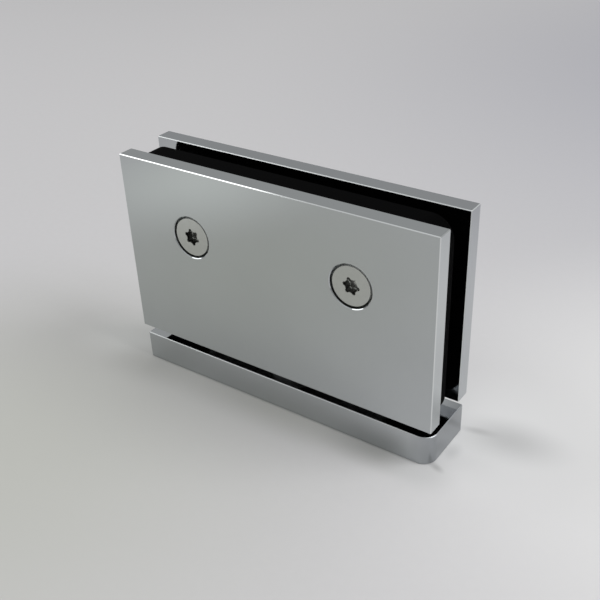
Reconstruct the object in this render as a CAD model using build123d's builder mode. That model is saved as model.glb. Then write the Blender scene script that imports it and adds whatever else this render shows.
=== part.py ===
from build123d import *
import os

# Glass door hinge: two clamp plates on a pivot body that turns on a pin standing in a base block.
# Millimetres. Origin on the pivot axis at the base block's underside.
# +X along the base, +Y towards the back plate, +Z up.

os.makedirs("parts", exist_ok=True)

# Base block
base_length = 99.2
base_depth = 18.6
base_height = 9.1
base_corner_radius = 4.0
base_edge_break = 0.2
fixing_spacing = 74.0
fixing_hole_radius = 2.75
fixing_sink_radius = 5.25

# Clamp plates
plate_length = 100.0
plate_height = 56.6
plate_thickness = 4.9
plate_edge_break = 0.2
slot_width = 11.0

# Clamp screws, countersunk with a six-lobe socket
clamp_screw_spacing = 52.0
clamp_screw_height = 36.5
clamp_thread_radius = 3.0
clamp_head_radius = 5.6
clamp_head_sink = 0.4
clamp_recess_radius = 6.25
clamp_recess_wall = 1.2
recess_edge_break = 0.2
clamp_tip_wall = 1.0
lobe_core_radius = 2.0
lobe_radius = 0.58
lobe_reach = 1.95
flute_radius = 0.75
flute_reach = 2.6
lobe_socket_depth = 2.4
lobe_turn = -8.0
left_screw_turn = -9.0

# Gaskets, stacked behind the front plate
thick_gasket = 2.0
thin_gasket = 1.0
gasket_side_inset = 1.75
gasket_top_inset = 0.2
gasket_drop = 1.5
gasket_corner_radius = 6.2
gasket_notch_gap = 1.0

# Pivot body
ear_margin = 7.0
ear_corner_radius = 5.0
foot_height = 2.5
barrel_radius = 7.0
barrel_height = 31.7
notch_width = 32.0
notch_corner_radius = 3.0

# Pivot pin
pin_radius = 4.0
shank_across = 6.5
shank_length = 5.5
cam_across = 7.0
cam_height = 17.7
pin_above_ring = 1.4
pin_edge_break = 0.5

# Bushes, washer and retaining ring
bush_wall = 1.0
lower_bush_length = 9.0
upper_bush_length = 9.0
washer_thickness = 0.8
ring_thickness = 1.0
ring_width = 1.9
ring_groove_depth = 0.8
ring_mouth = 4.4

# Detent blocks and their leaf springs, in a pocket milled into the body's front
block_length = 6.0
block_height = 11.2
block_edge_break = 0.5
cam_margin = 0.4
cam_clearance = 0.55
pocket_floor_wall = 1.4
leaf_thickness = 0.6
leaf_rise = 1.2
leaf_side_gap = 0.4

# Small screws, countersunk with a hexagon socket
small_thread_radius = 2.0
small_head_radius = 3.9
small_head_sink = 0.2
small_socket_across = 2.5
small_socket_depth = 1.5
body_screw_spacing = 36.0
body_screw_height = 6.0
body_screw_bite = 3.2
pin_screw_bite = 8.0

# Fits and clearances
running_gap = 0.05
slide_gap = 0.1
press_gap = 0.02
thread_gap = 0.05
seat_gap = 0.04
screw_clearance = 0.3
pocket_gap = 0.05
depth_gap = 0.3
channel_gap = 0.2
end_play = 0.15
clamp_give = 0.3

# Levels along the pivot axis
foot_z = base_height + washer_thickness
plate_z = foot_z + foot_height
plate_top_z = plate_z + plate_height
clamp_screw_z = plate_z + clamp_screw_height
body_top_z = clamp_screw_z + ear_margin
cam_z = base_height + cam_height
barrel_top_z = plate_z + barrel_height
ring_z = barrel_top_z + end_play
groove_width = ring_thickness + 2 * running_gap
pin_top_z = ring_z + groove_width + pin_above_ring
shank_z = base_height - shank_length

# Places across the slot
inner_y = slot_width / 2
outer_y = inner_y + plate_thickness
body_front_y = inner_y - clamp_give
body_length = clamp_screw_spacing + 2 * ear_margin
body_thickness = inner_y + body_front_y
clamp_screw_x = clamp_screw_spacing / 2
body_screw_x = body_screw_spacing / 2
body_screw_z = plate_z + body_screw_height
bush_outer_radius = pin_radius + running_gap + bush_wall
bore_radius = bush_outer_radius + press_gap
cam_length = block_height + 2 * cam_margin
block_x = cam_across / 2 + cam_clearance
leaf_1_x = block_x + block_length + running_gap
leaf_2_x = leaf_1_x + leaf_thickness + running_gap
pocket_x = leaf_2_x + leaf_thickness + leaf_rise + running_gap
pocket_y = inner_y - pocket_floor_wall

# Base block: a solid bar rounded at two opposite corners. A square pocket on top keys the pin's
# shank, a countersunk hole below takes the pin's screw, and two countersunk holes fix the bar.
with BuildPart() as base_block:
    with BuildSketch():
        Rectangle(base_length, base_depth)
    extrude(amount=base_height)
    uprights = base_block.edges().filter_by(Axis.Z)
    rounded = uprights.filter_by(lambda edge: edge.center().X * edge.center().Y < 0)
    square = uprights.filter_by(lambda edge: edge.center().X * edge.center().Y > 0)
    chamfer(square, length=base_edge_break)
    fillet(rounded, radius=base_corner_radius)
    chamfer(base_block.faces().sort_by(Axis.Z)[-1].edges(), length=base_edge_break)
    chamfer(base_block.faces().sort_by(Axis.Z)[0].edges(), length=base_edge_break)
    with BuildSketch(Plane.XY.offset(base_height)):
        Circle(pin_radius + pocket_gap)
        Rectangle(shank_across + 2 * pocket_gap, shank_across + 2 * pocket_gap, mode=Mode.INTERSECT)
    extrude(amount=-(shank_length + depth_gap), mode=Mode.SUBTRACT)
    with Locations(Plane(origin=(0, 0, 0), z_dir=(0, 0, -1))):
        CounterSinkHole(
            small_thread_radius + screw_clearance,
            small_head_radius + small_head_sink + seat_gap,
            depth=base_height / 2,
            counter_sink_angle=90,
        )
    with Locations(Plane.XY.offset(base_height)):
        with GridLocations(fixing_spacing, 0, 2, 1):
            CounterSinkHole(fixing_hole_radius, fixing_sink_radius, counter_sink_angle=90)

# Pivot pin: square shank in the base, two round journals, a cam of four flats between them for
# the detents, and a groove near the top for the retaining ring.
with BuildPart() as pivot_pin:
    with BuildSketch(Plane.XY.offset(base_height)):
        Circle(pin_radius)
    extrude(amount=pin_top_z - base_height)
    chamfer(pivot_pin.faces().sort_by(Axis.Z)[-1].edges(), length=pin_edge_break)
    with BuildSketch(Plane.XY.offset(cam_z - cam_length / 2)):
        Circle(pin_radius + pin_edge_break)
        Rectangle(cam_across, cam_across, mode=Mode.SUBTRACT)
    extrude(amount=cam_length, mode=Mode.SUBTRACT)
    with BuildSketch(Plane.XY.offset(ring_z - running_gap)):
        Circle(pin_radius + pin_edge_break)
        Circle(pin_radius - ring_groove_depth, mode=Mode.SUBTRACT)
    extrude(amount=groove_width, mode=Mode.SUBTRACT)
    with BuildSketch(Plane.XY.offset(base_height)):
        Circle(pin_radius)
        Rectangle(shank_across, shank_across, mode=Mode.INTERSECT)
    extrude(amount=-shank_length)
    with BuildSketch(Plane.XY.offset(shank_z)):
        Circle(small_thread_radius + thread_gap)
    extrude(amount=pin_screw_bite + depth_gap, mode=Mode.SUBTRACT)

# Pin screw: countersunk machine screw that draws the pin's shank down into the base from below.
pin_screw_length = shank_z + pin_screw_bite
with BuildPart() as pin_screw:
    with BuildSketch(Plane.XZ):
        with BuildLine():
            Polyline(
                (0, small_head_sink),
                (small_head_radius, small_head_sink),
                (small_thread_radius, small_head_sink + small_head_radius - small_thread_radius),
                (small_thread_radius, pin_screw_length),
                (0, pin_screw_length),
                close=True,
            )
        make_face()
    revolve(axis=Axis.Z)
    with BuildSketch(Plane.XY.offset(small_head_sink)):
        RegularPolygon(small_socket_across / 2, 6, major_radius=False)
    extrude(amount=small_socket_depth, mode=Mode.SUBTRACT)

# Thrust washer: the foot of the pivot body turns on it, clear of the base's polished top.
with BuildPart() as thrust_washer:
    with BuildSketch(Plane.XY.offset(base_height)):
        Circle(barrel_radius)
        Circle(pin_radius + running_gap, mode=Mode.SUBTRACT)
    extrude(amount=washer_thickness)

# Bushes: thin sleeves pressed into the body's bore above and below the cam.
with BuildPart() as lower_bush:
    with BuildSketch(Plane.XY.offset(foot_z)):
        Circle(bush_outer_radius)
        Circle(pin_radius + running_gap, mode=Mode.SUBTRACT)
    extrude(amount=lower_bush_length)

with BuildPart() as upper_bush:
    with BuildSketch(Plane.XY.offset(barrel_top_z - upper_bush_length)):
        Circle(bush_outer_radius)
        Circle(pin_radius + running_gap, mode=Mode.SUBTRACT)
    extrude(amount=upper_bush_length)

# Retaining ring: open spring ring snapped into the pin's groove above the body's barrel.
with BuildPart() as retaining_ring:
    with BuildSketch(Plane.XY.offset(ring_z)):
        ring_inner = pin_radius - ring_groove_depth + running_gap
        Circle(ring_inner + ring_width)
        Circle(ring_inner, mode=Mode.SUBTRACT)
        with Locations((0, ring_inner + ring_width)):
            Rectangle(ring_mouth, 2 * (ring_inner + ring_width), mode=Mode.SUBTRACT)
    extrude(amount=ring_thickness)

# Pivot body: a slab in the gap between the plates with a round barrel for the pin, two ears for
# the clamp screws, a notch between them round the ring, and a pocket in front for the detents.
with BuildPart() as pivot_body:
    with BuildSketch(Plane.XZ.offset(-inner_y)) as pivot_body_sketch:
        with Locations((0, (plate_z + body_top_z) / 2)):
            slab = Rectangle(body_length, body_top_z - plate_z)
        fillet(slab.vertices(), ear_corner_radius)
        with Locations((0, (barrel_top_z + body_top_z) / 2)):
            Rectangle(notch_width, body_top_z - barrel_top_z, mode=Mode.SUBTRACT)
        notch_corners = pivot_body_sketch.vertices().filter_by_position(
            Axis.X, -notch_width / 2, notch_width / 2
        )
        fillet(notch_corners, notch_corner_radius)
    extrude(amount=body_thickness)
    with BuildSketch(Plane.XY.offset(foot_z)):
        Circle(barrel_radius)
    extrude(amount=barrel_top_z - foot_z)
    with BuildSketch(Plane.XY.offset(foot_z)):
        Circle(bore_radius)
    extrude(amount=barrel_top_z - foot_z, mode=Mode.SUBTRACT)
    with BuildSketch(Plane.XZ.offset(-pocket_y)):
        with Locations((0, cam_z)):
            Rectangle(2 * pocket_x, block_height + 2 * slide_gap)
    extrude(amount=pocket_y + barrel_radius, mode=Mode.SUBTRACT)
    with Locations(Plane.XZ.offset(body_front_y)):
        with Locations((-clamp_screw_x, clamp_screw_z), (clamp_screw_x, clamp_screw_z)):
            Hole(clamp_thread_radius + screw_clearance, depth=body_thickness)
        with Locations((-body_screw_x, body_screw_z), (body_screw_x, body_screw_z)):
            CounterSinkHole(
                small_thread_radius + screw_clearance,
                small_head_radius + small_head_sink + seat_gap,
                depth=body_thickness,
                counter_sink_angle=90,
            )

# Right block: a hardened block that slides in the pocket and presses flat on the pin's cam. Its
# nose is broken at top and bottom.
with BuildPart() as right_block:
    with BuildSketch(Plane.YZ.offset(block_x)):
        with Locations(((pocket_y - body_front_y) / 2, cam_z)):
            Rectangle(pocket_y + body_front_y - 2 * slide_gap, block_height)
    extrude(amount=block_length)
    chamfer(right_block.faces().sort_by(Axis.X)[0].edges().filter_by(Axis.Y), length=block_edge_break)

with BuildPart() as left_block:
    add(right_block.part)
    mirror(about=Plane.YZ, mode=Mode.REPLACE)

# Right leaf springs: two bowed strips nested behind the block. The first bears on the block with
# its crown, the second rests with its ends on the pocket's end wall.
leaf_half = block_height / 2 - slide_gap
leaf_width = pocket_y + body_front_y - 2 * leaf_side_gap
leaf_front_y = body_front_y - leaf_side_gap
with BuildPart() as right_leaf_1:
    with BuildSketch(Plane.XZ.offset(leaf_front_y)):
        with BuildLine():
            crown = ThreePointArc(
                (leaf_1_x + leaf_rise, cam_z - leaf_half),
                (leaf_1_x, cam_z),
                (leaf_1_x + leaf_rise, cam_z + leaf_half),
            )
            hollow = ThreePointArc(
                (leaf_1_x + leaf_thickness + leaf_rise, cam_z - leaf_half),
                (leaf_1_x + leaf_thickness, cam_z),
                (leaf_1_x + leaf_thickness + leaf_rise, cam_z + leaf_half),
            )
            Line(crown @ 0, hollow @ 0)
            Line(crown @ 1, hollow @ 1)
        make_face()
    extrude(amount=-leaf_width)

with BuildPart() as right_leaf_2:
    with Locations((leaf_2_x - leaf_1_x, 0, 0)):
        add(right_leaf_1.part)

with BuildPart() as left_leaf_1:
    add(right_leaf_1.part)
    mirror(about=Plane.YZ, mode=Mode.REPLACE)

with BuildPart() as left_leaf_2:
    add(right_leaf_2.part)
    mirror(about=Plane.YZ, mode=Mode.REPLACE)

# Front plate: polished plate with two straight-walled countersunk recesses, broken at the mouth,
# and a shallow upright channel inside that clears the body's barrel.
with BuildPart() as front_plate:
    with BuildSketch(Plane.XZ.offset(inner_y)):
        with Locations((0, plate_z + plate_height / 2)):
            Rectangle(plate_length, plate_height)
    extrude(amount=plate_thickness)
    chamfer(front_plate.edges(), length=plate_edge_break)
    with BuildSketch(Plane.XY.offset(plate_z)):
        Circle(barrel_radius + channel_gap)
    extrude(amount=barrel_height + depth_gap, mode=Mode.SUBTRACT)
    with Locations(Plane.XZ.offset(outer_y - clamp_recess_wall)):
        with Locations((-clamp_screw_x, clamp_screw_z), (clamp_screw_x, clamp_screw_z)):
            CounterSinkHole(
                clamp_thread_radius + screw_clearance,
                clamp_recess_radius,
                depth=plate_thickness,
                counter_sink_angle=90,
            )
    recess_mouths = front_plate.faces().sort_by(Axis.Y)[0].edges().filter_by(GeomType.CIRCLE)
    chamfer(recess_mouths, length=recess_edge_break)

# Back plate: plain outside. Inside it has the same channel, and blind tapped holes for the clamp
# screws and for the screws that hold the body.
clamp_tap_depth = plate_thickness - clamp_tip_wall
with BuildPart() as back_plate:
    with BuildSketch(Plane.XZ.offset(-outer_y)):
        with Locations((0, plate_z + plate_height / 2)):
            Rectangle(plate_length, plate_height)
    extrude(amount=plate_thickness)
    chamfer(back_plate.edges(), length=plate_edge_break)
    with BuildSketch(Plane.XY.offset(plate_z)):
        Circle(barrel_radius + channel_gap)
    extrude(amount=barrel_height + depth_gap, mode=Mode.SUBTRACT)
    with Locations(Plane.XZ.offset(-inner_y)):
        with Locations((-clamp_screw_x, clamp_screw_z), (clamp_screw_x, clamp_screw_z)):
            Hole(clamp_thread_radius + thread_gap, depth=clamp_tap_depth)
        with Locations((-body_screw_x, body_screw_z), (body_screw_x, body_screw_z)):
            Hole(small_thread_radius + thread_gap, depth=body_screw_bite + depth_gap)

# Gaskets: four sheets of one outline with rounded corners, notched round the pivot body. They are
# stacked on the front plate and hang a little below it, so the glass can't touch the base.
gasket_length = plate_length - 2 * gasket_side_inset
gasket_low = plate_z - gasket_drop
gasket_high = plate_top_z - gasket_top_inset
notch_length = body_length + 2 * gasket_notch_gap
notch_top = body_top_z + gasket_notch_gap
with BuildSketch() as gasket_outline:
    with Locations((0, (gasket_low + gasket_high) / 2)):
        sheet = Rectangle(gasket_length, gasket_high - gasket_low)
    fillet(sheet.vertices(), gasket_corner_radius)
    with Locations((0, (gasket_low + notch_top) / 2)):
        Rectangle(notch_length, notch_top - gasket_low, mode=Mode.SUBTRACT)

with BuildPart() as thick_gasket_1:
    with BuildSketch(Plane.XZ.offset(inner_y - thick_gasket)):
        add(gasket_outline.sketch)
    extrude(amount=thick_gasket)

with BuildPart() as thin_gasket_1:
    with BuildSketch(Plane.XZ.offset(inner_y - thick_gasket - thin_gasket)):
        add(gasket_outline.sketch)
    extrude(amount=thin_gasket)

with BuildPart() as thin_gasket_2:
    with BuildSketch(Plane.XZ.offset(inner_y - thick_gasket - 2 * thin_gasket)):
        add(gasket_outline.sketch)
    extrude(amount=thin_gasket)

with BuildPart() as thick_gasket_2:
    with BuildSketch(Plane.XZ.offset(inner_y - 2 * thick_gasket - 2 * thin_gasket)):
        add(gasket_outline.sketch)
    extrude(amount=thick_gasket)

# Clamp screws: countersunk heads just under the front plate's face, through the body's ears, and
# threaded into the back plate.
head_y = -outer_y + clamp_head_sink
cone_y = -outer_y + clamp_recess_wall + clamp_recess_radius - seat_gap - clamp_head_radius
thread_y = cone_y + clamp_head_radius - clamp_thread_radius
tip_y = inner_y + clamp_tap_depth - depth_gap
with BuildPart() as clamp_screw_right:
    with BuildSketch(Plane(origin=(clamp_screw_x, 0, clamp_screw_z), z_dir=(0, 0, 1))):
        with BuildLine():
            Polyline(
                (0, head_y),
                (clamp_head_radius, head_y),
                (clamp_head_radius, cone_y),
                (clamp_thread_radius, thread_y),
                (clamp_thread_radius, tip_y),
                (0, tip_y),
                close=True,
            )
        make_face()
    revolve(axis=Axis((clamp_screw_x, 0, clamp_screw_z), (0, 1, 0)))
    head_plane = Plane((clamp_screw_x, head_y, clamp_screw_z), x_dir=(1, 0, 0), z_dir=(0, -1, 0))
    with BuildSketch(head_plane):
        RegularPolygon(lobe_core_radius, 12)
        with PolarLocations(lobe_reach, 6, start_angle=lobe_turn):
            RegularPolygon(lobe_radius, 10)
        with PolarLocations(flute_reach, 6, start_angle=lobe_turn + 30):
            RegularPolygon(flute_radius, 10, mode=Mode.SUBTRACT)
    extrude(amount=-lobe_socket_depth, mode=Mode.SUBTRACT)

# Left clamp screw: the same screw, driven home a few degrees further.
clamp_screw_axis = Axis((clamp_screw_x, 0, clamp_screw_z), (0, -1, 0))
with BuildPart() as clamp_screw_left:
    with Locations((-clamp_screw_spacing, 0, 0)):
        add(clamp_screw_right.part.rotate(clamp_screw_axis, left_screw_turn))

# Body screws: countersunk into the body's front, threaded into the back plate.
head_front_y = -body_front_y + small_head_sink
body_tip_y = inner_y + body_screw_bite
with BuildPart() as body_screw_right:
    with BuildSketch(Plane(origin=(body_screw_x, 0, body_screw_z), z_dir=(0, 0, 1))):
        with BuildLine():
            Polyline(
                (0, head_front_y),
                (small_head_radius, head_front_y),
                (small_thread_radius, head_front_y + small_head_radius - small_thread_radius),
                (small_thread_radius, body_tip_y),
                (0, body_tip_y),
                close=True,
            )
        make_face()
    revolve(axis=Axis((body_screw_x, 0, body_screw_z), (0, 1, 0)))
    with BuildSketch(Plane(origin=(body_screw_x, head_front_y, body_screw_z), z_dir=(0, -1, 0))):
        RegularPolygon(small_socket_across / 2, 6, major_radius=False)
    extrude(amount=-small_socket_depth, mode=Mode.SUBTRACT)

with BuildPart() as body_screw_left:
    add(body_screw_right.part)
    mirror(about=Plane.YZ, mode=Mode.REPLACE)

base_block.part.label = "base_block"
export_step(base_block.part, "parts/base_block.step")
pivot_pin.part.label = "pivot_pin"
export_step(pivot_pin.part, "parts/pivot_pin.step")
pin_screw.part.label = "pin_screw"
export_step(pin_screw.part, "parts/pin_screw.step")
thrust_washer.part.label = "thrust_washer"
export_step(thrust_washer.part, "parts/thrust_washer.step")
lower_bush.part.label = "lower_bush"
export_step(lower_bush.part, "parts/lower_bush.step")
upper_bush.part.label = "upper_bush"
export_step(upper_bush.part, "parts/upper_bush.step")
retaining_ring.part.label = "retaining_ring"
export_step(retaining_ring.part, "parts/retaining_ring.step")
pivot_body.part.label = "pivot_body"
export_step(pivot_body.part, "parts/pivot_body.step")
left_block.part.label = "left_block"
export_step(left_block.part, "parts/left_block.step")
right_block.part.label = "right_block"
export_step(right_block.part, "parts/right_block.step")
left_leaf_1.part.label = "left_leaf_1"
export_step(left_leaf_1.part, "parts/left_leaf_1.step")
left_leaf_2.part.label = "left_leaf_2"
export_step(left_leaf_2.part, "parts/left_leaf_2.step")
right_leaf_1.part.label = "right_leaf_1"
export_step(right_leaf_1.part, "parts/right_leaf_1.step")
right_leaf_2.part.label = "right_leaf_2"
export_step(right_leaf_2.part, "parts/right_leaf_2.step")
front_plate.part.label = "front_plate"
export_step(front_plate.part, "parts/front_plate.step")
back_plate.part.label = "back_plate"
export_step(back_plate.part, "parts/back_plate.step")
thick_gasket_1.part.label = "thick_gasket_1"
export_step(thick_gasket_1.part, "parts/thick_gasket_1.step")
thick_gasket_2.part.label = "thick_gasket_2"
export_step(thick_gasket_2.part, "parts/thick_gasket_2.step")
thin_gasket_1.part.label = "thin_gasket_1"
export_step(thin_gasket_1.part, "parts/thin_gasket_1.step")
thin_gasket_2.part.label = "thin_gasket_2"
export_step(thin_gasket_2.part, "parts/thin_gasket_2.step")
clamp_screw_left.part.label = "clamp_screw_left"
export_step(clamp_screw_left.part, "parts/clamp_screw_left.step")
clamp_screw_right.part.label = "clamp_screw_right"
export_step(clamp_screw_right.part, "parts/clamp_screw_right.step")
body_screw_left.part.label = "body_screw_left"
export_step(body_screw_left.part, "parts/body_screw_left.step")
body_screw_right.part.label = "body_screw_right"
export_step(body_screw_right.part, "parts/body_screw_right.step")
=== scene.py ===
import math

import bpy
from mathutils import Matrix, Vector


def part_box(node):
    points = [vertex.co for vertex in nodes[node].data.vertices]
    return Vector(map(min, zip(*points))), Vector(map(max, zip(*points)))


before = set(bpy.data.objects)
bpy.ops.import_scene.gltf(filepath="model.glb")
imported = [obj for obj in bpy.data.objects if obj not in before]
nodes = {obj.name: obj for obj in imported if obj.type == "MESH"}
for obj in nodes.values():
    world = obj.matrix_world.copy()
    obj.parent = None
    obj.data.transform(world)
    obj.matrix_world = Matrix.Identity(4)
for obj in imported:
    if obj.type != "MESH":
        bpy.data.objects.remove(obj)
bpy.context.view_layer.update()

# Camera: stands in front of the hinge, to its right and above, and looks down on the clamp's
# front plate. Sizes are in metres, in the hinge's own frame.
camera_place = (0.127029, -0.170889, 0.160004)
camera_right = (0.821021, 0.569791, -0.035545)
camera_up = (-0.269889, 0.442244, 0.855324)
camera_back = (0.503075, -0.692646, 0.516872)
camera_lens = 53.061

camera_data = bpy.data.cameras.new("camera")
camera_data.sensor_width = 36.0
camera_data.lens = camera_lens
camera_data.clip_start = 0.01
camera_data.clip_end = 20.0
camera = bpy.data.objects.new("camera", camera_data)
bpy.context.collection.objects.link(camera)
turn = Matrix((camera_right, camera_up, camera_back)).transposed()
camera.matrix_world = Matrix.Translation(camera_place) @ turn.to_4x4()
bpy.context.scene.camera = camera


# Base block: a solid brass bar, milled, polished and chromed all over, with finely broken edges.
# Its edges get a darker painted tint that dims their highlights, and its right end a darker
# painted shade. It stands on the floor, is fixed there by two countersunk screws, and carries
# the pin.
base_chrome_tint = (0.545, 0.565, 0.576, 1.0)
base_chrome_dull_tint = (0.520, 0.540, 0.550, 1.0)
base_edge_shade_tint = (0.50, 0.52, 0.52, 1.0)
base_end_shade_tint = (0.355, 0.370, 0.385, 1.0)
base_end_start = 0.043
base_end_full = 0.0496
chrome_roughness = (0.045, 0.085)
chrome_haze_scale = 38.0
chrome_ripple_scale = 900.0
chrome_ripple_strength = 0.012
base_edge_roughness = 0.40
grain_low = 0.3
grain_high = 0.7
bump_distance = 0.0001
slope_of_edge = 0.707
slope_margin = 0.15


def start_material(name):
    """A new node material with its shader, coordinates in metres and an output."""
    material = bpy.data.materials.new(name)
    material.use_nodes = True
    tree = material.node_tree
    shader = tree.nodes["Principled BSDF"]
    place = tree.nodes.new("ShaderNodeTexCoord")
    return material, tree, shader, place.outputs["Object"]


def cloud(tree, place, scale, detail=4.0, stretch=None):
    """Soft noise at a scale per metre, drawn out across an axis if stretch says so."""
    if stretch is not None:
        mapping = tree.nodes.new("ShaderNodeMapping")
        mapping.inputs["Scale"].default_value = stretch
        tree.links.new(place, mapping.inputs["Vector"])
        place = mapping.outputs["Vector"]
    noise = tree.nodes.new("ShaderNodeTexNoise")
    noise.inputs["Scale"].default_value = scale
    noise.inputs["Detail"].default_value = detail
    tree.links.new(place, noise.inputs["Vector"])
    return noise.outputs["Fac"]


def between(tree, factor, low, high):
    """Runs soft noise between two numbers."""
    spread = tree.nodes.new("ShaderNodeMapRange")
    spread.inputs["From Min"].default_value = grain_low
    spread.inputs["From Max"].default_value = grain_high
    spread.inputs["To Min"].default_value = low
    spread.inputs["To Max"].default_value = high
    tree.links.new(factor, spread.inputs["Value"])
    return spread.outputs["Result"]


def shade(tree, factor, first, second):
    """Runs soft noise between two colours."""
    ramp = tree.nodes.new("ShaderNodeValToRGB")
    ramp.color_ramp.elements[0].position = grain_low
    ramp.color_ramp.elements[0].color = first
    ramp.color_ramp.elements[1].position = grain_high
    ramp.color_ramp.elements[1].color = second
    tree.links.new(factor, ramp.inputs["Fac"])
    return ramp.outputs["Color"]


def raise_surface(tree, shader, height, strength):
    """Roughens the surface with bumps too low to see one by one."""
    bump = tree.nodes.new("ShaderNodeBump")
    bump.inputs["Strength"].default_value = strength
    bump.inputs["Distance"].default_value = bump_distance
    tree.links.new(height, bump.inputs["Height"])
    tree.links.new(bump.outputs["Normal"], shader.inputs["Normal"])


def dress(names, material):
    """Gives CAD nodes one material."""
    for name in names:
        mesh = nodes[name].data
        mesh.materials.clear()
        mesh.materials.append(material)


def figure(tree, operation, *values):
    """One sum on numbers, each of them linked or fixed."""
    node = tree.nodes.new("ShaderNodeMath")
    node.operation = operation
    for socket, value in zip(node.inputs, values):
        if isinstance(value, float):
            socket.default_value = value
        else:
            tree.links.new(value, socket)
    return node.outputs["Value"]


def split(tree, vector):
    """The three parts of a vector."""
    parts = tree.nodes.new("ShaderNodeSeparateXYZ")
    tree.links.new(vector, parts.inputs["Vector"])
    return parts.outputs["X"], parts.outputs["Y"], parts.outputs["Z"]


def broken_edges(tree, place, level_only=False):
    """1 on the narrow sloping edges and 0 on the flats. Level edges only, or upright ones too."""
    facing = tree.nodes.new("ShaderNodeTexCoord").outputs["Normal"]
    size = tree.nodes.new("ShaderNodeVectorMath")
    size.operation = "ABSOLUTE"
    tree.links.new(facing, size.inputs[0])
    across, along, upward = split(tree, size.outputs["Vector"])
    widest = upward
    if not level_only:
        widest = figure(tree, "MAXIMUM", upward, figure(tree, "MAXIMUM", across, along))
    return figure(tree, "COMPARE", widest, slope_of_edge, slope_margin)


def climb(tree, value, start, end):
    """0 up to a start value and 1 from an end value on."""
    slope = tree.nodes.new("ShaderNodeMapRange")
    slope.inputs["From Min"].default_value = start
    slope.inputs["From Max"].default_value = end
    tree.links.new(value, slope.inputs["Value"])
    return slope.outputs["Result"]


def blend_tint(tree, factor, tone, tint):
    """Runs from a linked tone to a fixed tint."""
    mix = tree.nodes.new("ShaderNodeMix")
    mix.data_type = "RGBA"
    tree.links.new(factor, mix.inputs[0])
    tree.links.new(tone, mix.inputs[6])
    mix.inputs[7].default_value = tint
    return mix.outputs[2]


def blend_number(tree, factor, value, end):
    """Runs from a linked number to a fixed one."""
    mix = tree.nodes.new("ShaderNodeMix")
    tree.links.new(factor, mix.inputs[0])
    tree.links.new(value, mix.inputs[2])
    mix.inputs[3].default_value = end
    return mix.outputs[0]


def polished_chrome(name, tint, dull_tint, edges, painted_edge_tint, edge_roughness, painted_shade=None):
    """Chrome with soft haze, painted tints on its edges and painted shade on a part if given."""
    material, tree, shader, place = start_material(name)
    shader.inputs["Metallic"].default_value = 1.0
    haze = cloud(tree, place, chrome_haze_scale, detail=3.0)
    edge = edges(tree, place)
    tone = blend_tint(tree, edge, shade(tree, haze, dull_tint, tint), painted_edge_tint)
    if painted_shade is not None:
        factor, shade_tint = painted_shade(tree, place)
        tone = blend_tint(tree, factor, tone, shade_tint)
    tree.links.new(tone, shader.inputs["Base Color"])
    gloss = blend_number(tree, edge, between(tree, haze, *chrome_roughness), edge_roughness)
    tree.links.new(gloss, shader.inputs["Roughness"])
    ripple = cloud(tree, place, chrome_ripple_scale, detail=2.0)
    raise_surface(tree, shader, ripple, chrome_ripple_strength)
    return material


def level_edges(tree, place):
    """The broken edges along the top and bottom of the bar."""
    return broken_edges(tree, place, level_only=True)


def right_end_shade(tree, place):
    """Painted shade on the right end of the bar, and its tint."""
    across, _, _ = split(tree, place)
    return climb(tree, across, base_end_start, base_end_full), base_end_shade_tint


base_chrome = polished_chrome(
    "base_chrome",
    base_chrome_tint,
    base_chrome_dull_tint,
    level_edges,
    base_edge_shade_tint,
    base_edge_roughness,
    painted_shade=right_end_shade,
)
dress(["base_block"], base_chrome)


# Pin and its screw: turned and ground steel. The pin stands in the base's square pocket and the
# screw holds it from below.
steel_tint = (0.42, 0.42, 0.43, 1.0)
steel_bright_tint = (0.58, 0.58, 0.59, 1.0)
steel_roughness = (0.22, 0.36)
turning_mark_scale = 3000.0
turning_mark_stretch = (0.1, 0.1, 1.0)
turning_mark_strength = 0.15


def ground_steel(name, first, second, roughness):
    material, tree, shader, place = start_material(name)
    shader.inputs["Metallic"].default_value = 1.0
    marks = cloud(tree, place, turning_mark_scale, detail=3.0, stretch=turning_mark_stretch)
    tree.links.new(shade(tree, marks, first, second), shader.inputs["Base Color"])
    tree.links.new(between(tree, marks, *roughness), shader.inputs["Roughness"])
    raise_surface(tree, shader, marks, turning_mark_strength)
    return material


pin_steel = ground_steel("ground_steel", steel_tint, steel_bright_tint, steel_roughness)
dress(["pivot_pin", "pin_screw"], pin_steel)


# Thrust washer: punched from black nylon sheet. It lies loose on the base round the pin, and the
# pivot body turns on it.
nylon_tint = (0.018, 0.018, 0.019, 1.0)
nylon_worn_tint = (0.035, 0.035, 0.036, 1.0)
nylon_roughness = (0.42, 0.58)
nylon_grain_scale = 2500.0
nylon_grain_strength = 0.2


def black_nylon():
    material, tree, shader, place = start_material("black_nylon")
    grain = cloud(tree, place, nylon_grain_scale)
    tree.links.new(shade(tree, grain, nylon_tint, nylon_worn_tint), shader.inputs["Base Color"])
    tree.links.new(between(tree, grain, *nylon_roughness), shader.inputs["Roughness"])
    raise_surface(tree, shader, grain, nylon_grain_strength)
    return material


dress(["thrust_washer"], black_nylon())


# Bushes: plain turned bronze sleeves, pressed into the body's bore above and below the cam. They
# run on the pin's two journals.
bronze_tint = (0.42, 0.24, 0.10, 1.0)
bronze_bright_tint = (0.56, 0.34, 0.15, 1.0)
bronze_roughness = (0.30, 0.45)
bush_bronze = ground_steel("bush_bronze", bronze_tint, bronze_bright_tint, bronze_roughness)
dress(["lower_bush", "upper_bush"], bush_bronze)


# Pivot body: a milled brass block with a matte black finish. It fills the slot round the pin and
# is screwed to the back plate.
black_brass_tint = (0.012, 0.012, 0.013, 1.0)
black_brass_rubbed_tint = (0.030, 0.028, 0.025, 1.0)
black_brass_metal = 0.3
black_brass_roughness = (0.45, 0.62)
black_brass_grain_scale = 600.0
black_brass_grain_strength = 0.25


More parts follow.
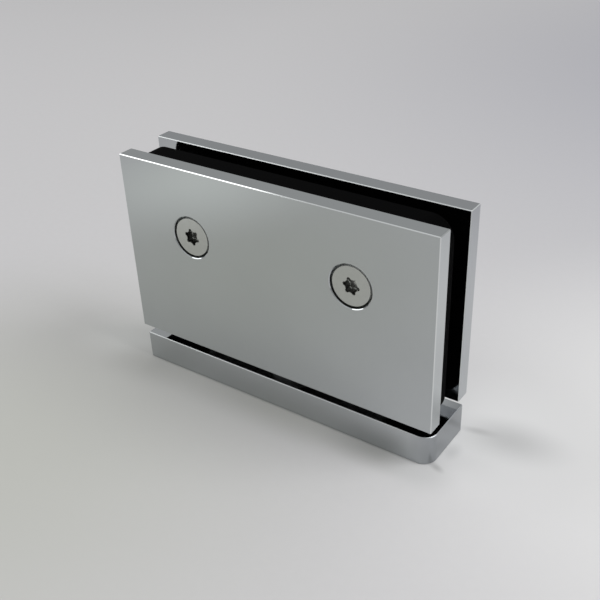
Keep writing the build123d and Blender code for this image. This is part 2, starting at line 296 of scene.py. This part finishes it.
def blackened_brass():
    material, tree, shader, place = start_material("blackened_brass")
    shader.inputs["Metallic"].default_value = black_brass_metal
    grain = cloud(tree, place, black_brass_grain_scale, detail=6.0)
    tone = shade(tree, grain, black_brass_tint, black_brass_rubbed_tint)
    tree.links.new(tone, shader.inputs["Base Color"])
    tree.links.new(between(tree, grain, *black_brass_roughness), shader.inputs["Roughness"])
    raise_surface(tree, shader, grain, black_brass_grain_strength)
    return material


dress(["pivot_body"], blackened_brass())


# Detent blocks: hardened steel blocks, ground like the pin. They slide in the body's pocket and
# press on the pin's cam.
dress(["left_block", "right_block"], pin_steel)


# Leaf springs and retaining ring: blued spring steel strip. The leaves are bowed and nested in
# pairs behind the detent blocks, and the ring is stamped and snapped into the pin's groove.
blued_tint = (0.07, 0.08, 0.11, 1.0)
blued_bright_tint = (0.16, 0.17, 0.21, 1.0)
blued_roughness = (0.25, 0.40)
blued_steel = ground_steel("blued_steel", blued_tint, blued_bright_tint, blued_roughness)
dress(["left_leaf_1", "left_leaf_2", "right_leaf_1", "right_leaf_2", "retaining_ring"], blued_steel)


# Back plate and body screws: the plate is milled brass, polished and chromed, with satin edges.
# Its chrome is tinted a little darker than the front plate's, a painted shade on its ends, and its
# edges carry a lighter painted highlight. The screws are bright zinc plated, and hold the body
# against its inner face.
back_tint = (0.505, 0.522, 0.540, 1.0)
back_dull_tint = (0.485, 0.502, 0.520, 1.0)
back_edge_highlight_tint = (0.61, 0.63, 0.63, 1.0)
back_edge_roughness = 0.45
back_chrome = polished_chrome(
    "back_chrome", back_tint, back_dull_tint, broken_edges, back_edge_highlight_tint, back_edge_roughness
)
dress(["back_plate"], back_chrome)

zinc_tint = (0.50, 0.51, 0.52, 1.0)
zinc_bright_tint = (0.62, 0.63, 0.64, 1.0)
zinc_roughness = (0.18, 0.30)
zinc_steel = ground_steel("zinc_steel", zinc_tint, zinc_bright_tint, zinc_roughness)
dress(["body_screw_left", "body_screw_right"], zinc_steel)


# Gaskets: four black sheets with a fine dull skin, cut to one outline. They lie flat on each
# other behind the front plate, and the glass pinches them there.
gasket_tint = (0.0008, 0.0008, 0.0009, 1.0)
gasket_dusty_tint = (0.0020, 0.0020, 0.0021, 1.0)
gasket_shine = 0.01
gasket_roughness = (0.50, 0.68)
gasket_grain_scale = 1800.0
gasket_grain_strength = 0.3


def gasket_sheet():
    material, tree, shader, place = start_material("gasket_sheet")
    shader.inputs["Specular IOR Level"].default_value = gasket_shine
    grain = cloud(tree, place, gasket_grain_scale, detail=5.0)
    tree.links.new(shade(tree, grain, gasket_tint, gasket_dusty_tint), shader.inputs["Base Color"])
    tree.links.new(between(tree, grain, *gasket_roughness), shader.inputs["Roughness"])
    raise_surface(tree, shader, grain, gasket_grain_strength)
    return material


dress(["thick_gasket_1", "thick_gasket_2", "thin_gasket_1", "thin_gasket_2"], gasket_sheet())


# Front plate and clamp screws: the plate is polished and chromed, its edges too, and its edges
# carry a lighter painted highlight and its two recesses a painted shade. The two countersunk
# screws are polished stainless steel, with painted light on the sides of their heads, painted
# shade in their sockets and a painted highlight at each socket's bottom. They are sunk just
# under the plate's face and threaded into the back plate.
screw_low, screw_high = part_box("clamp_screw_right")
plate_low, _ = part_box("front_plate")
front_tint = (0.545, 0.568, 0.576, 1.0)
front_dull_tint = (0.524, 0.546, 0.554, 1.0)
front_edge_highlight_tint = (0.76, 0.78, 0.78, 1.0)
front_edge_roughness = 0.10
# Painted shade on the walls of the screw recesses.
recess_shade_tint = (0.20, 0.21, 0.20, 1.0)
recess_reach = 0.0068
recess_wall_start = 0.0002
recess_wall_full = 0.0004
stainless_tint = (0.56, 0.57, 0.555, 1.0)
stainless_dull_tint = (0.53, 0.54, 0.525, 1.0)
stainless_roughness = (0.07, 0.13)
stainless_haze_scale = 700.0
stainless_haze_strength = 0.03
# Painted light on the sides of the screw heads, seen in the gap round each head.
head_side_light_tint = (0.95, 0.95, 0.93, 1.0)
head_side_roughness = 0.6
head_side_full = 0.0001
# Painted shade in the sockets, and a painted highlight at their bottoms.
socket_shade_tint = (0.085, 0.085, 0.08, 1.0)
socket_end_highlight_tint = (0.72, 0.73, 0.70, 1.0)
socket_reach = 0.0027
socket_depth = 0.0024
socket_roughness = 0.25
socket_wall_full = 0.00025
socket_end_fade = 0.0003
head_face_margin = 0.00002


def beside_screws(tree, place, reach):
    """1 within reach of either clamp screw's axis."""
    across, _, upward = split(tree, place)
    spot = tree.nodes.new("ShaderNodeCombineXYZ")
    tree.links.new(figure(tree, "ABSOLUTE", across), spot.inputs["X"])
    tree.links.new(upward, spot.inputs["Z"])
    axis_across = (screw_low[0] + screw_high[0]) / 2
    axis_height = (screw_low[2] + screw_high[2]) / 2
    away = tree.nodes.new("ShaderNodeVectorMath")
    away.operation = "DISTANCE"
    away.inputs[1].default_value = (axis_across, 0, axis_height)
    tree.links.new(spot.outputs["Vector"], away.inputs[0])
    return figure(tree, "LESS_THAN", away.outputs["Value"], reach)


def behind(tree, place, start, end):
    """0 in front of a start level and 1 behind an end level, from front to back."""
    _, along, _ = split(tree, place)
    return climb(tree, along, start, end)


def outer_edges(tree, place):
    """The plate's broken edges, without the mouths of the two recesses."""
    away = figure(tree, "SUBTRACT", 1.0, beside_screws(tree, place, recess_reach))
    return figure(tree, "MULTIPLY", broken_edges(tree, place), away)


def recess_shade(tree, place):
    """Painted shade on the walls of the two recesses, darker towards the bottom of each, and its
    tint.
    """
    _, _, upward = split(tree, place)
    wall = behind(tree, place, plate_low[1] + recess_wall_start, plate_low[1] + recess_wall_full)
    lower = climb(tree, upward, screw_high[2], screw_low[2])
    within = figure(tree, "MULTIPLY", beside_screws(tree, place, recess_reach), lower)
    return figure(tree, "MULTIPLY", within, wall), recess_shade_tint


front_chrome = polished_chrome(
    "front_chrome",
    front_tint,
    front_dull_tint,
    outer_edges,
    front_edge_highlight_tint,
    front_edge_roughness,
    painted_shade=recess_shade,
)
dress(["front_plate"], front_chrome)


def turned_stainless():
    material, tree, shader, place = start_material("turned_stainless")
    shader.inputs["Metallic"].default_value = 1.0
    haze = cloud(tree, place, stainless_haze_scale, detail=3.0)
    head = screw_low[1]
    side = behind(tree, place, head + head_face_margin, head + head_side_full)
    within = beside_screws(tree, place, socket_reach)
    inside = behind(tree, place, head + head_face_margin, head + socket_wall_full)
    socket = figure(tree, "MULTIPLY", within, inside)
    deep = behind(tree, place, head + socket_depth - socket_end_fade, head + socket_depth)
    end = figure(tree, "MULTIPLY", within, deep)
    tone = shade(tree, haze, stainless_dull_tint, stainless_tint)
    tone = blend_tint(tree, side, tone, head_side_light_tint)
    tone = blend_tint(tree, socket, tone, socket_shade_tint)
    tone = blend_tint(tree, end, tone, socket_end_highlight_tint)
    tree.links.new(tone, shader.inputs["Base Color"])
    gloss = blend_number(tree, side, between(tree, haze, *stainless_roughness), head_side_roughness)
    gloss = blend_number(tree, socket, gloss, socket_roughness)
    tree.links.new(gloss, shader.inputs["Roughness"])
    raise_surface(tree, shader, haze, stainless_haze_strength)
    return material


dress(["clamp_screw_left", "clamp_screw_right"], turned_stainless())


# Floor: a wide matte sheet of pale grey paper under the hinge. Painted pools of light and shade lie
# on it, paler to the near right and dimmer to the near left and far right, with faint painted
# shadows and lighter painted patches beside the base block.
floor_half = 4.0
floor_tint = (0.590, 0.582, 0.588, 1.0)
floor_fibre_tint = (0.582, 0.574, 0.580, 1.0)
floor_roughness = 0.9
floor_shine = 0.1
floor_fibre_scale = 400.0
floor_light_and_shade_patches = (
    # Middle, half length, half width, turn in degrees and tint of each patch.
    ((0.127, 0.382), 0.411, 0.411, 0, (0.400, 0.400, 0.438, 1.0)),
    ((-0.059, -0.073), 0.136, 0.136, 0, (0.511, 0.514, 0.480, 1.0)),
    ((0.113, 0.039), 0.132, 0.132, 0, (0.737, 0.733, 0.731, 1.0)),
    ((-0.128, -0.128), 0.070, 0.070, 0, (0.76, 0.77, 0.74, 1.0)),
    ((-0.063, -0.004), 0.026, 0.018, 15, (0.625, 0.628, 0.610, 1.0)),
    ((0.055, 0.012), 0.034, 0.034, 0, (0.762, 0.762, 0.762, 1.0)),
    ((-0.002, -0.011), 0.062, 0.012, 0, (0.46, 0.46, 0.44, 1.0)),
    ((-0.046, -0.014), 0.022, 0.012, 10, (0.475, 0.475, 0.455, 1.0)),
    ((0.033, -0.0105), 0.022, 0.009, 0, (0.40, 0.40, 0.39, 1.0)),
    ((0.048, -0.012), 0.013, 0.010, 0, (0.56, 0.56, 0.56, 1.0)),
    ((0.0632, 0.0125), 0.020, 0.0115, 8, (0.565, 0.565, 0.565, 1.0)),
    ((0.0545, 0.0116), 0.0075, 0.0022, 12, (0.53, 0.53, 0.53, 1.0)),
    ((0.0515, -0.0005), 0.0035, 0.0055, 0, (0.62, 0.62, 0.62, 1.0)),
    ((0.0508, -0.0080), 0.0036, 0.0017, -20, (0.44, 0.44, 0.44, 1.0)),
)

floor_mesh = bpy.data.meshes.new("floor")
floor_corners = [
    (-floor_half, -floor_half, 0),
    (floor_half, -floor_half, 0),
    (floor_half, floor_half, 0),
    (-floor_half, floor_half, 0),
]
floor_mesh.from_pydata(floor_corners, [], [(0, 1, 2, 3)])
floor = bpy.data.objects.new("floor", floor_mesh)
bpy.context.collection.objects.link(floor)


def soft_patch(tree, place, tone, middle, length, width, turn, tint):
    """Fades a tone to a tint round a middle point, out to its half length and half width."""
    patch = tree.nodes.new("ShaderNodeMapping")
    patch.vector_type = "TEXTURE"
    patch.inputs["Location"].default_value = (*middle, 0)
    patch.inputs["Rotation"].default_value = (0, 0, math.radians(turn))
    patch.inputs["Scale"].default_value = (length, width, 1)
    tree.links.new(place, patch.inputs["Vector"])
    away = tree.nodes.new("ShaderNodeVectorMath")
    away.operation = "LENGTH"
    tree.links.new(patch.outputs["Vector"], away.inputs[0])
    fade = tree.nodes.new("ShaderNodeMapRange")
    fade.interpolation_type = "SMOOTHSTEP"
    fade.inputs["To Min"].default_value = 1.0
    fade.inputs["To Max"].default_value = 0.0
    tree.links.new(away.outputs["Value"], fade.inputs["Value"])
    return blend_tint(tree, fade.outputs["Result"], tone, tint)


def floor_paper():
    material, tree, shader, place = start_material("floor_paper")
    shader.inputs["Roughness"].default_value = floor_roughness
    shader.inputs["Specular IOR Level"].default_value = floor_shine
    fibres = cloud(tree, place, floor_fibre_scale, detail=2.0)
    tone = shade(tree, fibres, floor_fibre_tint, floor_tint)
    for patch in floor_light_and_shade_patches:
        tone = soft_patch(tree, place, tone, *patch)
    tree.links.new(tone, shader.inputs["Base Color"])
    return material


floor_mesh.materials.append(floor_paper())


# Light: one wide soft lamp above on the right, a weaker one in front on the left, and a plain
# grey surround that grows brighter overhead.
key_place = (0.66, 0.16, 0.66)
key_aim = (0, 0, 0)
key_size = 0.6
key_power = 4.6
fill_place = (-0.88, -0.31, 0.58)
fill_aim = (0, 0, 0.04)
fill_size = 0.7
fill_power = 2.8
surround_low = (0.33, 0.335, 0.34, 1.0)
surround_level = (0.435, 0.44, 0.44, 1.0)
surround_raised = (0.60, 0.605, 0.61, 1.0)
surround_overhead = (0.90, 0.91, 0.92, 1.0)


def soft_lamp(name, place, aim, size, power):
    lamp_data = bpy.data.lights.new(name, "AREA")
    lamp_data.shape = "SQUARE"
    lamp_data.size = size
    lamp_data.energy = power
    lamp = bpy.data.objects.new(name, lamp_data)
    bpy.context.collection.objects.link(lamp)
    lamp.location = place
    way = Vector(aim) - Vector(place)
    lamp.rotation_euler = way.to_track_quat("-Z", "Y").to_euler()


soft_lamp("key", key_place, key_aim, key_size, key_power)
soft_lamp("fill", fill_place, fill_aim, fill_size, fill_power)

world = bpy.data.worlds.new("surround")
bpy.context.scene.world = world
world.use_nodes = True
sky = world.node_tree
sky_way = sky.nodes.new("ShaderNodeTexCoord")
sky_height = sky.nodes.new("ShaderNodeSeparateXYZ")
sky_ramp = sky.nodes.new("ShaderNodeValToRGB")
sky_steps = sky_ramp.color_ramp.elements
sky_steps[0].position = 0.0
sky_steps[0].color = surround_low
sky_steps[1].position = 1.0
sky_steps[1].color = surround_overhead
sky_steps.new(0.50).color = surround_level
sky_steps.new(0.75).color = surround_raised
sky.links.new(sky_way.outputs["Generated"], sky_height.inputs["Vector"])
sky.links.new(sky_height.outputs["Z"], sky_ramp.inputs["Fac"])
sky.links.new(sky_ramp.outputs["Color"], sky.nodes["Background"].inputs["Color"])

bpy.context.scene.view_settings.view_transform = "Standard"
